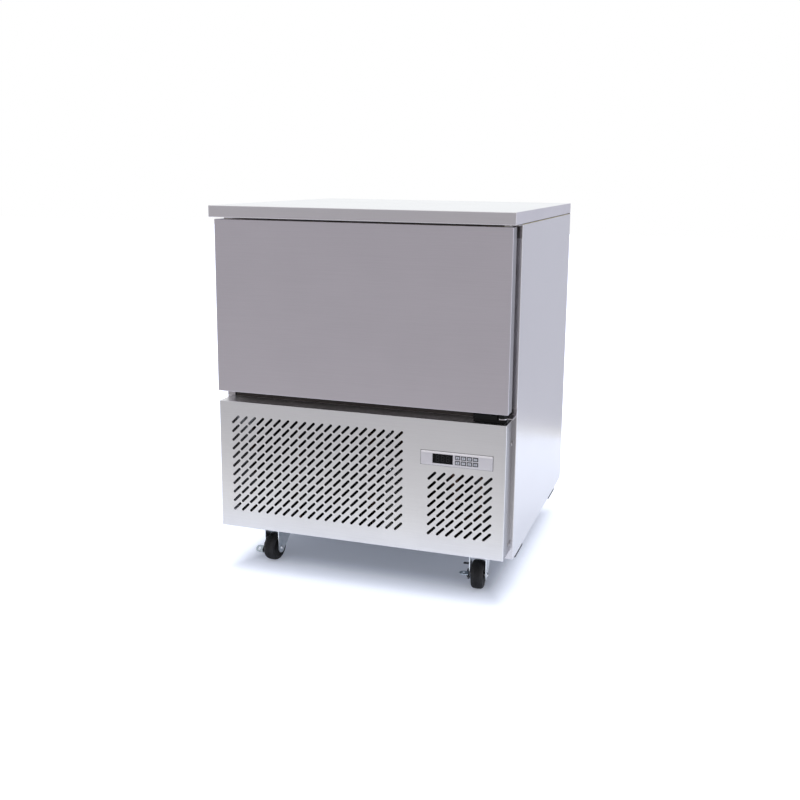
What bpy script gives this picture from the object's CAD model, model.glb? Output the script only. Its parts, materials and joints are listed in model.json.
# %% [markdown]
# # An undercounter blast chiller, dressed
# A blast chiller cools hot food trays fast. This one is a stainless cabinet on four castors: a flat
# worktop, one wide door hinged on the right, and under it a slotted service panel with a small
# controller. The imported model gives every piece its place. This lesson gives each piece its
# folded edges, pressed ribs, fins and finish, and leaves the sizes as they are.

# %% The fixed frame
import json
import math
import bmesh
import bpy
from mathutils import Matrix, Vector


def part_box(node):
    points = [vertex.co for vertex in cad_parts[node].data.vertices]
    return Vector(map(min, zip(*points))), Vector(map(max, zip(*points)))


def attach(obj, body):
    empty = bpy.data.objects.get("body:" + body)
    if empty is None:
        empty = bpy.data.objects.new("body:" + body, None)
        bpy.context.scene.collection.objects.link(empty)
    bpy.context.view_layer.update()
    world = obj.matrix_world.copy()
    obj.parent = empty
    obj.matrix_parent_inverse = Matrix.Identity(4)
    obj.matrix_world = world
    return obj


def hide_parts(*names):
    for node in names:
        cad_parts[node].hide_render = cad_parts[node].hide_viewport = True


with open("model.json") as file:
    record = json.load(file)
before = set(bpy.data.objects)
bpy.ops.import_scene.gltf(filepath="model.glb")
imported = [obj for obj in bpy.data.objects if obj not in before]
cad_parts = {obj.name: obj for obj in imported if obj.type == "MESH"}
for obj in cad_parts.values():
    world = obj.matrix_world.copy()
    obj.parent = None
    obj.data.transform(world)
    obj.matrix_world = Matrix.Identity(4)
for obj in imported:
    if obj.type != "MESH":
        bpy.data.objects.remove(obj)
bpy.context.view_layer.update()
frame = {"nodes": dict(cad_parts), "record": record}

nodes = frame["nodes"]

# %% [markdown]
# ## Working in millimetres
# Sheet metal is drawn in millimetres and Blender's frame is in metres. Every mesh here is drawn in
# millimetres in bmesh and scaled once, when it becomes an object. `seat` reads a CAD node's box, so
# a piece takes its place from the node that it stands for instead of from a typed number.

# %% Millimetres and seats
MM = 0.001


def seat(node):
    """lowest and highest corner of a CAD node, in millimetres"""
    lo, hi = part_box(node)
    return lo / MM, hi / MM


def link(name, data):
    """puts a new object with this data in the scene"""
    thing = bpy.data.objects.new(name, data)
    bpy.context.scene.collection.objects.link(thing)
    return thing


def mesh_object(name, bm):
    """turns a bmesh drawn in millimetres into an object in metres, at the origin"""
    bmesh.ops.remove_doubles(bm, verts=bm.verts, dist=0.002)
    bm.transform(Matrix.Scale(MM, 4))
    mesh = bpy.data.meshes.new(name)
    bm.to_mesh(mesh)
    bm.free()
    return link(name, mesh)


def taken_back(piece):
    """the object as a bmesh in millimetres again, to be drawn on; the object itself goes"""
    bm = bmesh.new()
    bm.from_mesh(piece.data)
    bm.transform(Matrix.Scale(1 / MM, 4))
    bpy.data.objects.remove(piece)
    return bm


def merge_in(bm, other):
    """adds another bmesh to bm and frees it"""
    mesh = bpy.data.meshes.new("part")
    other.to_mesh(mesh)
    other.free()
    bm.from_mesh(mesh)
    bpy.data.meshes.remove(mesh)
    return bm


def bake(piece):
    """makes what the modifiers show the piece's own plain mesh, and removes them"""
    graph = bpy.context.evaluated_depsgraph_get()
    mesh = bpy.data.meshes.new_from_object(piece.evaluated_get(graph), preserve_all_data_layers=True,
                                           depsgraph=graph)
    piece.modifiers.clear()
    old = piece.data
    piece.data = mesh
    bpy.data.meshes.remove(old)
    return piece


def shade(piece, angle=38):
    """smooth folds between flat faces: edges sharper than the angle stay crisp, large faces flat"""
    piece.data.polygons.foreach_set("use_smooth", [True] * len(piece.data.polygons))
    piece.data.set_sharp_from_angle(angle=math.radians(angle))
    piece.modifiers.new("even normals", "WEIGHTED_NORMAL").keep_sharp = True
    return bake(piece)


def hand_in(piece, slot, *stands_for, finish=None, pick=None, body="cabinet"):
    """gives a piece its finish, body, slot and CAD nodes. The finish is the slot's own or the one
    named; with several named, pick returns each face's place in the list"""
    piece.data.materials.clear()
    for one in finish if pick else [finish or slot]:
        piece.data.materials.append(finishes[one])
    if pick:
        for face in piece.data.polygons:
            face.material_index = pick(face.center / MM, face.normal)
    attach(piece, body)
    if stands_for:
        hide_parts(*stands_for)
    print(f"{piece.name}: {len(piece.data.polygons)} faces on {body}")


def deliver(name, bm, slot, *stands_for, angle=38, **rest):
    """makes a drawn shape an object, shades it and hands it in"""
    hand_in(shade(mesh_object(name, bm), angle), slot, *stands_for, **rest)


# %% [markdown]
# ## Building node trees
# Materials and Geometry Nodes are both node trees, so one helper serves both: it adds a node, sets
# its options, and fills its sockets with values or links. Colours are written as they would be
# picked on a screen, in sRGB hex, and turned to linear light in one place.

# %% Node and colour helpers
def add(tree, kind, sockets=None, **settings):
    """adds a node with its settings; a socket takes a value, another socket, or a list of sockets"""
    node = tree.nodes.new(kind)
    for key, value in settings.items():
        setattr(node, key, value)
    for key, value in (sockets or {}).items():
        joined = isinstance(value, list) and isinstance(value[0], bpy.types.NodeSocket)
        for one in value if joined else [value]:
            if isinstance(one, bpy.types.NodeSocket):
                tree.links.new(one, node.inputs[key])
            else:
                node.inputs[key].default_value = one
    return node


def maths(tree, kind, *values, **settings):
    """result of a Math node"""
    return add(tree, "ShaderNodeMath", dict(enumerate(values)), operation=kind, **settings).outputs[0]


def ranged(tree, value, low, high, start=0.0, end=1.0, **settings):
    """goes from low to high while the value goes from start to end"""
    return add(tree, "ShaderNodeMapRange", {"Value": value, "From Min": start, "From Max": end,
                                            "To Min": low, "To Max": high}, **settings).outputs[0]


def noise(tree, place, scale, detail=2.0, roughness=0.5):
    """grey clouds, with the number of them in a metre as their scale"""
    return add(tree, "ShaderNodeTexNoise", {"Vector": place, "Scale": scale, "Detail": detail,
                                            "Roughness": roughness}).outputs["Fac"]


def blended(tree, by, one, two):
    """goes from one colour to another"""
    return add(tree, "ShaderNodeMix", {"Factor": by, 6: one, 7: two}, data_type="RGBA").outputs[2]


def linear(hex_code):
    """#rrggbb in sRGB to linear red, green, blue and alpha"""
    parts = [int(hex_code[i:i + 2], 16) / 255 for i in (1, 3, 5)]
    return [c / 12.92 if c <= 0.04045 else ((c + 0.055) / 1.055) ** 2.4 for c in parts] + [1.0]


def tones(colour, dark, light):
    """a darker and a lighter tone of one colour"""
    return [[min(1.0, c * k) for c in linear(colour)[:3]] + [1.0] for k in (dark, light)]


def new_finish(name, **shader):
    """empty material with a Principled shader and the piece's Object coordinates"""
    finish = bpy.data.materials.new(name)
    finish.use_nodes = True
    tree = finish.node_tree
    face = tree.nodes["Principled BSDF"]
    for key, value in shader.items():
        face.inputs[key.replace("_", " ")].default_value = value
    place = add(tree, "ShaderNodeTexCoord").outputs["Object"]
    return finish, tree, face, place


def vary(tree, face, tint_by, tints, gloss_by, gloss, relief=None):
    """lets patterns move a surface's colour between two tints, its roughness between two values,
    and with (pattern, strength, distance) its height"""
    tree.links.new(blended(tree, tint_by, *tints), face.inputs["Base Color"])
    tree.links.new(ranged(tree, gloss_by, *gloss), face.inputs["Roughness"])
    if relief:
        bump = dict(zip(("Height", "Strength", "Distance"), relief))
        tree.links.new(add(tree, "ShaderNodeBump", bump).outputs[0], face.inputs["Normal"])


# %% [markdown]
# ## Brushed stainless steel
# Cabinet sheet is 304 stainless with a satin grain, made by a belt that scratches it one way. Seen
# from two metres the scratches blur into faint streaks along the sheet. The streaks are noise
# stretched along the grain: real scratches are about 0.1 mm apart, which is too fine to show, so
# they are drawn 1.2 mm apart. A second, slow noise gives the cloudy patches left by handling.

# %% Brushed stainless
def brushed_stainless(name, colour, grain, roughness, streak_mm=1.2, unevenness=1.0):
    """satin sheet: streaks along the grain axis change the colour, the gloss and the relief"""
    finish, tree, face, place = new_finish(name, Metallic=1.0, Roughness=roughness)
    streak_length = 90
    scale = [1000 / streak_mm] * 3
    scale["xyz".index(grain)] /= streak_length
    path = add(tree, "ShaderNodeMapping", {"Vector": place, "Scale": scale}).outputs[0]
    streaks = noise(tree, path, 1.0, 3.0, 0.6)
    clouds = noise(tree, place, 5.5)
    blend = ranged(tree, maths(tree, "ADD", streaks, clouds), 0.0, 1.0, 0.7, 1.3)
    swing = 0.03 * unevenness
    vary(tree, face, blend, tones(colour, 1 - 0.035 * unevenness, 1 + swing),
         blend, (roughness + swing, roughness - swing), (streaks, 0.1 * unevenness, 0.00002))
    return finish


# use: (name, colour, grain axis, roughness, distance between streaks in mm, unevenness)
finishes = {use: brushed_stainless(*look) for use, look in {
    "satin_stainless": ("satin_stainless_sheet", "#e7e7e9", "x", 0.34),
    "door_stainless": ("door_stainless_sheet", "#d4d0d7", "x", 0.34),
    "inner_stainless": ("inner_stainless_sheet", "#c6c8ca", "z", 0.28),
    "side": ("side_stainless_sheet", "#dcdbdd", "z", 0.26, 1.2, 0.35),
    "worktop": ("worktop_stainless_sheet", "#dddbdf", "x", 0.32),
    "worktop_face": ("worktop_polished_face", "#eef1f4", "x", 0.3, 1.2, 0.5),
    "frame": ("recess_stainless_sheet", "#a6a2a0", "x", 0.2),
    "hinge": ("satin_hinge_plate", "#c4c0c4", "z", 0.2),
    "stile": ("stile_stainless_sheet", "#d6d4d7", "z", 0.26),
    "flange": ("folded_flange_sheet", "#9a9a9e", "z", 0.3),
    "cut_edge": ("laser_cut_edge", "#2a292b", "x", 0.5),
    "screw": ("turned_screw_steel", "#a7a4a5", "z", 0.3, 0.8)}.items()}
print("brushed sheets:", len(bpy.data.materials))

# %% [markdown]
# ## Galvanised and zinc-plated steel
# The rear sheet and base pan are hot-dip galvanised: molten zinc freezes into flat crystals, the
# spangle, 8 to 15 mm across, each a little lighter or darker. Voronoi cells are such crystals. The
# castors are bright zinc plated instead, which has no crystals, only a cool blue tone, and a fine
# unevenness of the plating.

# %% Galvanised sheet and bright zinc
def galvanised(name, colour, spangle_mm):
    """sheet with zinc crystals of the given size"""
    finish, tree, face, place = new_finish(name, Metallic=1.0, Roughness=0.42)
    cells = add(tree, "ShaderNodeTexVoronoi", {"Vector": place, "Scale": 1000 / spangle_mm,
                                               "Randomness": 1.0}, feature="F1")
    tone = add(tree, "ShaderNodeSeparateColor", {"Color": cells.outputs["Color"]}).outputs[0]
    vary(tree, face, tone, tones(colour, 0.84, 1.12), tone, (0.36, 0.52))
    return finish


def bright_zinc(name, colour):
    """plated pressings: cool, fairly glossy, with slow uneven patches"""
    finish, tree, face, place = new_finish(name, Metallic=1.0, Roughness=0.3)
    patches = noise(tree, place, 70.0, 3.0)
    vary(tree, face, patches, tones(colour, 0.82, 1.15), patches, (0.22, 0.4), (patches, 0.15, 0.0001))
    return finish


finishes["galvanised_steel"] = galvanised("galvanised_steel_sheet", "#b3b8bb", 11)
finishes["zinc_plated_steel"] = bright_zinc("bright_zinc_plate", "#c0ccd4")
finishes["fork"] = bright_zinc("bright_zinc_fork", "#f2fbff")
finishes["axle_bolt"] = bright_zinc("bright_zinc_bolt", "#ffffff")

# %% [markdown]
# ## Rubbers, mouldings and paint
# Everything else is moulded or painted. A moulding carries the fine spark-eroded grain of its tool,
# about 0.3 mm, and rubber a coarser one. The grain is noise used as relief and as a small change in
# gloss, which is what tells plastic from paint at a glance.

# %% Moulded and painted finishes
def moulded(name, colour, roughness, grain_mm, relief_mm, contrast, coat=0.0, mirror=0.5, metal=0.0):
    """plastic, rubber or enamel with a fine grain; coat is a clear glossy layer, mirror the
    strength of the plain reflection, metal a silver pigment"""
    finish, tree, face, place = new_finish(name, Roughness=roughness, Coat_Weight=coat,
                                           Coat_Roughness=0.08, Specular_IOR_Level=mirror,
                                           Metallic=metal)
    grain = noise(tree, place, 1000 / grain_mm, 2.0, 0.55)
    wear = noise(tree, place, 24.0, 3.0)
    vary(tree, face, wear, tones(colour, 1 - contrast, 1 + contrast),
         grain, (max(0.05, roughness - 0.06), roughness + 0.06), (grain, 0.35, relief_mm * MM))
    return finish


# use: (name, colour, roughness, grain in mm, relief in mm, contrast, coat, mirror, metal)
for use, look in {
        "black_rubber": ("black_castor_rubber", "#1e1d1f", 0.62, 0.8, 0.05, 0.25),
        "black_moulding": ("black_nylon_moulding", "#0e0e0f", 0.55, 0.4, 0.02, 0.15, 0.0, 0.2),
        "grey_moulding": ("silver_painted_bezel", "#e4e1e5", 0.4, 0.35, 0.01, 0.02, 0.0, 0.5, 0.5),
        "key_plastic": ("pale_key_cap_plastic", "#d6d6da", 0.45, 0.35, 0.01, 0.03),
        "display_lens": ("smoked_display_lens", "#0c0c0f", 0.16, 0.5, 0.002, 0.05, 0.0, 0.15),
        "insulating_foam": ("polyurethane_foam", "#d9cc9b", 0.9, 1.6, 0.6, 0.12),
        "black_enamel": ("black_stoved_enamel", "#1c1d20", 0.3, 1.2, 0.03, 0.15, 0.3),
        "white_nylon": ("natural_nylon_bush", "#e4e1d8", 0.5, 0.4, 0.01, 0.04),
        "grey_switch_box": ("grey_switch_box_plastic", "#a2a4a8", 0.5, 0.5, 0.03, 0.05),
        "grey_fan_plastic": ("glass_filled_fan_plastic", "#4c4f54", 0.5, 0.6, 0.03, 0.1),
        "black_fin": ("black_painted_fin", "#131315", 0.75, 1.5, 0.02, 0.2)}.items():
    finishes[use] = moulded(*look)

# %% [markdown]
# ## Copper pipe and aluminium fins
# Drawn copper pipe darkens unevenly as it ages and keeps a bright pink where it was brazed or wiped:
# two browns mixed by a slow noise. Fin stock is thin mill aluminium, bright and a little streaky
# along the fin.

# %% Copper and fins
def drawn_copper(name, fresh, aged):
    """copper pipe, bright in places and browned in others"""
    finish, tree, face, place = new_finish(name, Metallic=1.0, Roughness=0.32)
    age = ranged(tree, noise(tree, place, 28.0, 5.0), 0.0, 1.0, 0.35, 0.65)
    vary(tree, face, age, (linear(fresh), linear(aged)), age, (0.24, 0.46))
    return finish


finishes["copper_pipe"] = drawn_copper("drawn_copper_pipe", "#654b40", "#35281f")
finishes["aluminium_fins"] = brushed_stainless("mill_aluminium_fin", "#c8cdd2", "z", 0.3, 2.0)
print("finishes:", sorted(finishes))

# %% [markdown]
# ## The nodes that keep their shape
# Each CAD node names a material slot in the record. A node that no dressed piece stands in for shows
# with the finish of its slot, but for a few whose real sheet is darker.

# %% Finishes for the carried nodes
own_finish = {"front_frame": "frame", "upper_hinge_bracket": "frame", "lower_hinge_bracket": "hinge",
              "castor_pads": "black_moulding"}
slot_of = {part["node"]: part["material_slot"] for part in frame["record"]["subparts"]}
for name, node in nodes.items():
    for place in node.material_slots:
        place.material = finishes[own_finish.get(name, slot_of[name])]

# %% [markdown]
# ## Folded sheet
# Nearly every outer piece is folded from 1 mm sheet: a box that is open on one side, with round
# outside folds and a lip that turns in round the opening. It is drawn as the outside skin only, its
# folds are bevelled, and Solidify then gives the skin its thickness inwards, as a press brake does.

# %% Folded sheet helpers
def skin_box(lo, hi):
    """the six faces of a box between two corners"""
    bm = bmesh.new()
    bmesh.ops.create_cube(bm, size=1)
    for v in bm.verts:
        v.co = Vector([lo[i] if v.co[i] < 0 else hi[i] for i in range(3)])
    return bm


def weave(bm, rows, ring=False, tube=False, inside_out=False):
    """faces between rows of points; ring closes every row, tube joins the last row to the first"""
    rows = [[bm.verts.new(point) for point in row] for row in rows]
    rows = [row + row[:1] for row in rows] if ring else rows
    for one, two in zip(rows, rows[1:] + (rows[:1] if tube else [])):
        for a, b, c, d in zip(one, one[1:], two[1:], two):
            bm.faces.new((d, c, b, a) if inside_out else (a, b, c, d))
    return bm


def face_towards(bm, way):
    """the largest face whose normal points along way"""
    bm.normal_update()
    facing = [f for f in bm.faces if f.normal.dot(Vector(way)) > 0.99]
    return max(facing, key=lambda f: f.calc_area())


def open_side(bm, way, lip=0.0):
    """opens the box on one side, leaving a lip of the given width"""
    face = face_towards(bm, way)
    if lip:
        bmesh.ops.inset_region(bm, faces=[face], thickness=lip, use_even_offset=True)
    bmesh.ops.delete(bm, geom=[face], context="FACES")
    return bm


def round_folds(bm, radius, segments=3, least=0.5):
    """rounds every fold sharper than least radians, leaving open edges alone"""
    folds = [e for e in bm.edges if len(e.link_faces) == 2 and e.calc_face_angle(0) > least]
    bmesh.ops.bevel(bm, geom=folds, offset=radius, offset_type="OFFSET", segments=segments,
                    profile=0.5, affect="EDGES", clamp_overlap=True)
    return bm


def soft_box(lo, hi, radius, segments=1):
    """a box with rounded edges"""
    return round_folds(skin_box(lo, hi), radius, segments)


def thicken(piece, wall, offset=-1, even=False):
    """sets the wall of a skin, inwards unless the offset says otherwise"""
    thick = piece.modifiers.new("wall", "SOLIDIFY")
    thick.thickness, thick.offset, thick.use_even_offset = wall * MM, offset, even
    return piece


def fold_sheet(name, bm, wall):
    """gives a drawn skin its wall and shades it"""
    return shade(bake(thicken(mesh_object(name, bm), wall, even=True)))


# %% [markdown]
# ## The worktop
# The worktop is one sheet with its four edges folded down and hemmed under. Its corners are welded
# and dressed round, so every outside edge catches a thin line of light. The box is open below with a
# 15 mm hem, which holds the dark core board that stiffens the sheet.

# %% Worktop
lo, hi = seat("worktop")
top = round_folds(open_side(skin_box(lo, hi), (0, 0, -1), 15), 2.2)
hand_in(fold_sheet("worktop_sheet", top, 1.2), "satin_stainless", "worktop",
        finish=("worktop", "worktop_face"),
        pick=lambda at, way: int(way.z > 0.9 and at.z > hi.z - 0.5))
finishes["core_board"] = moulded("sealed_core_board", "#1d1a19", 0.85, 2.5, 0.1, 0.2)
inset = Vector((1.3, 1.3, 1.3))
board = soft_box(lo + inset, (hi.x - inset.x, hi.y - inset.y, lo.z + 10), 0.5)
deliver("worktop_core_board", board, "black_moulding", finish="core_board")

# %% [markdown]
# ## Side panels
# A side panel is a long C of sheet: it turns in at the front to make the stile beside the door, and
# at the back it is folded over on itself, so that no raw edge shows beside the rear sheet. A path
# across the fold is drawn once in plan, its corners are rounded, and it is swept from bottom to top.
# The skin stops 2.2 mm short of the worktop, which leaves room for a bead of sealant.

# %% Side panels
def round_path(points, radius):
    """2-D path with rounded corners and a short flat run at each side of every bend"""
    steps, run, most = 4, 0.8, 0.45
    out = [Vector(points[0])]
    for before, corner, after in zip(points, points[1:], points[2:]):
        before, corner, after = Vector(before), Vector(corner), Vector(after)
        a, b = (before - corner).normalized(), (after - corner).normalized()
        half = a.angle(b) / 2
        reach, leave = (before - corner).length, (after - corner).length
        cut = min(radius / math.tan(half), most * reach, most * leave)
        bend = cut * math.tan(half)
        centre = corner + (a + b).normalized() * bend / math.sin(half)
        start, end = corner + a * cut - centre, corner + b * cut - centre
        if reach > 2 * (cut + run):
            out.append(corner + a * (cut + run))
        turn = start.angle_signed(end)
        out += [centre + Matrix.Rotation(-turn * i / steps, 2) @ start for i in range(steps + 1)]
        if leave > 2 * (cut + run):
            out.append(corner + b * (cut + run))
    return out + [Vector(points[-1])]


half_w, y_body, y_back, y_return = 400.0, -320.0, 400.0, 382.7
stile_w, flange_w = 26, 18
screw_levels = (149.0, 412.0)
z_body, z_top = (end.z for end in seat("right_side_panel"))
z_skin = z_top - 2.2
tab_x = seat("slotted_front_panel")[1].x - 1.3
side_plan = [(half_w - stile_w, y_body), (half_w, y_body), (half_w, y_back)]
rear_fold = [(half_w - 2.6, y_back - 0.6), (half_w - 2.6, y_return - 0.5)]
side_parts = [((half_w - flange_w, y_return - 1, z_body + 1), (half_w - 1, y_return, z_top - 1)),
              ((half_w - flange_w, y_body + 1, z_body), (half_w - 1, y_return, z_body + 1)),
              ((half_w - flange_w, y_body + 1, z_top - 1), (half_w - 4, y_return, z_top))]
side_parts += [((tab_x - 2, y_body - 20, z - 10), (tab_x, y_body + 1, z + 10)) for z in screw_levels]
for side, name in ((1, "right_side_panel"), (-1, "left_side_panel")):
    plan = round_path(side_plan, 2.0)
    bm = weave(bmesh.new(), [[(*p, z) for p in plan] for z in (z_body, z_skin)])
    weave(bm, [[(*p, z) for p in rear_fold] for z in (z_body + 1, z_skin)], inside_out=True)
    bm = taken_back(fold_sheet(name + "_sheet", bm, 1.0))
    for a, b in side_parts:
        merge_in(bm, skin_box(a, b))
    if side < 0:
        bm.transform(Matrix.Scale(-1, 4, (1, 0, 0)))
        bmesh.ops.reverse_faces(bm, faces=bm.faces)
    deliver(name + "_sheet", bm, "satin_stainless", name, finish=("side", "stile"),
            pick=lambda at, way: int(way.y < -0.9 and at.y < y_body + 0.5))

# %% [markdown]
# ## The joint under the worktop
# The worktop is bedded on the sides in a bead of dark sealant, which shows as a fine line all the way
# along. It is a thin strip, set back from the sheet by a little more than its fold.

# %% Sealant
bm = bmesh.new()
for x in (1.1 - half_w, half_w - 3.9):
    merge_in(bm, soft_box((x, y_body + 1.1, z_top - 3.0), (x + 2.8, y_back - 1.1, z_top + 1.0), 0.4))
finishes["sealant"] = moulded("dark_silicone_sealant", "#141316", 0.6, 1.0, 0.05, 0.1, mirror=0.2)
deliver("worktop_joint_sealant", bm, "black_rubber", finish="sealant")

# %% [markdown]
# ## The door
# The door's outer pan is a box 40 mm deep, open at the back but for a 25 mm lip that the inner panel
# is fixed to. It has no handle: the cook pulls its edge. The two holes on the hinge axis take the
# nylon bushes, and are cut with a Boolean once the wall is there.

# %% Door pan
def drill(piece, centre, diameter, depth):
    """cuts a round upright hole through a piece"""
    bm = bmesh.new()
    bmesh.ops.create_cone(bm, cap_ends=True, segments=32, radius1=diameter / 2, radius2=diameter / 2,
                          depth=depth)
    bm.transform(Matrix.Translation(centre))
    cutter = mesh_object("cutter", bm)
    cut = piece.modifiers.new("hole", "BOOLEAN")
    cut.object, cut.solver = cutter, "EXACT"
    bake(piece)
    bpy.data.objects.remove(cutter)


lo, hi = seat("door_outer_pan")
pan_lip, bush_hole = 25, 18.4
pan = round_folds(open_side(skin_box(lo, hi), (0, 1, 0), pan_lip), 2.0, 4)
pan = fold_sheet("door_front_pan", pan, 1.0)
for z in (lo.z, hi.z):
    drill(pan, (hi.x - 18, lo.y + 20, z), bush_hole, 10)
hand_in(shade(pan), "door_stainless", "door_outer_pan", body="door",
        finish=("door_stainless", "flange"),
        pick=lambda at, way: int(abs(way.x) > 0.9 and at.y > lo.y + 3))

# %% [markdown]
# ## The door's inner panel and gasket
# The inner sheet is pressed: a shallow raised field stiffens it, with sloping sides where the press
# stretched the metal. The gasket is a soft black extrusion with a hollow bulb and a bellows fold, with
# welded corners. Its section is drawn once, as distances out from and behind a rounded rectangle, and
# every section point makes one loop.

# %% Inner panel and gasket
lo, hi = seat("door_inner_panel")
rim_y, border, slope = lo.y + 12, 44, 5
inner = open_side(skin_box(lo, (hi.x, rim_y, hi.z)), (0, -1, 0))
field = face_towards(inner, (0, 1, 0))
bmesh.ops.inset_region(inner, faces=[field], thickness=border, use_even_offset=True)
bmesh.ops.inset_region(inner, faces=[field], thickness=slope, depth=hi.y - rim_y, use_even_offset=True)
round_folds(inner, 2.0, 3, 0.3)
hand_in(fold_sheet("door_pressed_inner_panel", inner, 1.0), "inner_stainless", "door_inner_panel",
        body="door")


def rectangle(x0, z0, x1, z1, radius=0.0, steps=4):
    """corners of a rectangle, or its outline with rounded corners"""
    if not radius:
        return [(x0, z0), (x1, z0), (x1, z1), (x0, z1)]
    centres = [(x0 + radius, z0 + radius, 2), (x1 - radius, z0 + radius, 3),
               (x1 - radius, z1 - radius, 0), (x0 + radius, z1 - radius, 1)]
    return [(x + radius * math.cos(math.pi / 2 * (k + i / steps)),
             z + radius * math.sin(math.pi / 2 * (k + i / steps)))
            for x, z, k in centres for i in range(steps + 1)]


lo, hi = seat("door_gasket")
y0, y1 = lo.y, hi.y
section = [(-24, y0), (-24, y0 + 3), (-22.5, y0 + 4), (-20, y0 + 4.2), (-18, y0 + 6.5),
           (-20.5, y0 + 8.8), (-21, y0 + 11), (-20, y1 - 0.6), (-18, y1), (-6, y1), (-3.4, y1 - 0.6),
           (-2.6, y0 + 11), (-3.4, y0 + 8.8), (-6, y0 + 6.5), (-3.6, y0 + 4.2), (-1, y0 + 4),
           (0, y0 + 3), (0, y0)]
corner_r = 32


def seal_loop(out, y):
    """rounded rectangle that stands out from the gasket's outer edge, in the plane y"""
    outline = rectangle(-hi.x - out, lo.z - out, hi.x + out, hi.z + out, corner_r + out, 6)
    return [(x, y, z) for x, z in outline]


seal = weave(bmesh.new(), [seal_loop(*point) for point in section], ring=True, tube=True)
bmesh.ops.recalc_face_normals(seal, faces=seal.faces)
finishes["gasket"] = moulded("soft_black_gasket", "#1b1b1d", 0.55, 0.9, 0.02, 0.15)
deliver("door_magnetic_gasket", seal, "black_rubber", "door_gasket", angle=50, body="door",
        finish="gasket")

# %% [markdown]
# ## The slotted service panel
# 269 slanting slots let the condensing unit breathe: 20 by 11 on the left, 7 by 7 under the
# controller, punched on one 24 mm grid. Geometry Nodes suit this, because the punch is one shape and
# the die just steps along: a stadium is set on a point for every slot, all are joined with the
# sheet's outline, and Fill Curve leaves them as holes.

# %% Punching tree
def new_tree(name, **inputs):
    """geometry node group with a geometry input and output, named inputs and a finish"""
    tree = bpy.data.node_groups.new(name, "GeometryNodeTree")
    tree.interface.new_socket("Geometry", in_out="INPUT", socket_type="NodeSocketGeometry")
    for key, (kind, value) in {**inputs, "Finish": ("Material", None)}.items():
        socket = tree.interface.new_socket(key.replace("_", " "), in_out="INPUT",
                                           socket_type="NodeSocket" + kind)
        if value is not None:
            socket.default_value = value
    tree.interface.new_socket("Geometry", in_out="OUTPUT", socket_type="NodeSocketGeometry")
    return tree, add(tree, "NodeGroupInput").outputs


def end_tree(tree, shape, given):
    """makes the repeats real geometry, gives them the finish and hands them out"""
    real = add(tree, "GeometryNodeRealizeInstances", {"Geometry": shape.outputs[0]})
    dressed = add(tree, "GeometryNodeSetMaterial", {"Geometry": real.outputs[0],
                                                    "Material": given["Finish"]})
    add(tree, "NodeGroupOutput", {"Geometry": dressed.outputs[0]})


def run_tree(piece, tree, finish, **values):
    """runs a tree on a piece once and keeps the result as a plain mesh"""
    step = piece.modifiers.new(tree.name, "NODES")
    step.node_group = tree
    values["finish"] = finishes[finish]
    for item in tree.interface.items_tree:
        key = item.name.replace(" ", "_").lower()
        if item.in_out == "INPUT" and key in values:
            step[item.identifier] = values[key]
    return bake(piece)


punch, given = new_tree("punched_sheet", Outline=("Object", None), Slot_length=("Float", 0.029),
                        Slot_width=("Float", 0.006), Slot_angle=("Float", math.pi / 4),
                        Depth=("Float", 0.0))
stadium = add(punch, "GeometryNodeCurvePrimitiveQuadrilateral",
              {"Width": given["Slot length"], "Height": given["Slot width"]}, mode="RECTANGLE")
just_under_half = 0.4999
radius = maths(punch, "MULTIPLY", given["Slot width"], just_under_half)
stadium = add(punch, "GeometryNodeFilletCurve", {"Curve": stadium.outputs[0], "Radius": radius,
                                                 "Count": 4, "Limit Radius": True}, mode="POLY")
turn = add(punch, "ShaderNodeCombineXYZ", {"Z": given["Slot angle"]})
slots = add(punch, "GeometryNodeInstanceOnPoints", {
    "Points": given["Geometry"], "Instance": stadium.outputs[0], "Rotation": turn.outputs[0]})
slots = add(punch, "GeometryNodeRealizeInstances", {"Geometry": slots.outputs[0]})
outline = add(punch, "GeometryNodeObjectInfo", {"Object": given["Outline"]}, transform_space="ORIGINAL")
outline = add(punch, "GeometryNodeMeshToCurve", {"Mesh": outline.outputs["Geometry"]})
joined = add(punch, "GeometryNodeJoinGeometry", {"Geometry": [slots.outputs[0], outline.outputs[0]]})
filled = add(punch, "GeometryNodeFillCurve", {"Curve": joined.outputs[0]}, mode="TRIANGLES")
stand = add(punch, "ShaderNodeCombineXYZ", {"Y": given["Depth"]})
upright = add(punch, "GeometryNodeTransform", {
    "Geometry": filled.outputs[0], "Rotation": (math.pi / 2, 0, 0), "Translation": stand.outputs[0]})
end_tree(punch, upright, given)


def wire(name, lines, closed=False, joined=True):
    """points in millimetres, joined into lines of edges, as an object"""
    bm = bmesh.new()
    for line in lines:
        ring = [bm.verts.new(point) for point in line]
        for a, b in zip(ring, ring[1:] + (ring[:1] if closed else [])) if joined else ():
            bm.edges.new((a, b))
    return mesh_object(name, bm)


def arc(cx, cz, r, start, end, steps=12):
    """points on a circle between two angles in degrees"""
    turns = [math.radians(start + (end - start) * i / steps) for i in range(steps + 1)]
    return [(cx + r * math.cos(t), cz + r * math.sin(t)) for t in turns]


def punched(name, loops, centres, y, length, width, angle, finish):
    """flat sheet in the plane y, facing the front, with slots at the centres"""
    sheet = wire(name, [[(x, z, 0) for x, z in centres]], joined=False)
    outline = wire(name + "_outline", [[(x, z, 0) for x, z in loop] for loop in loops], closed=True)
    run_tree(sheet, punch, finish, outline=outline, slot_length=length * MM, slot_width=width * MM,
             slot_angle=angle, depth=y * MM)
    bpy.data.objects.remove(outline)
    return sheet


# %% [markdown]
# The panel is a shallow folded tray, so its front is cut out of the box and the punched sheet takes
# its place. The two share their four corners, so merging them closes the seam. Its bottom edge turns
# back only 25 mm, which leaves room for the castors.

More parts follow.
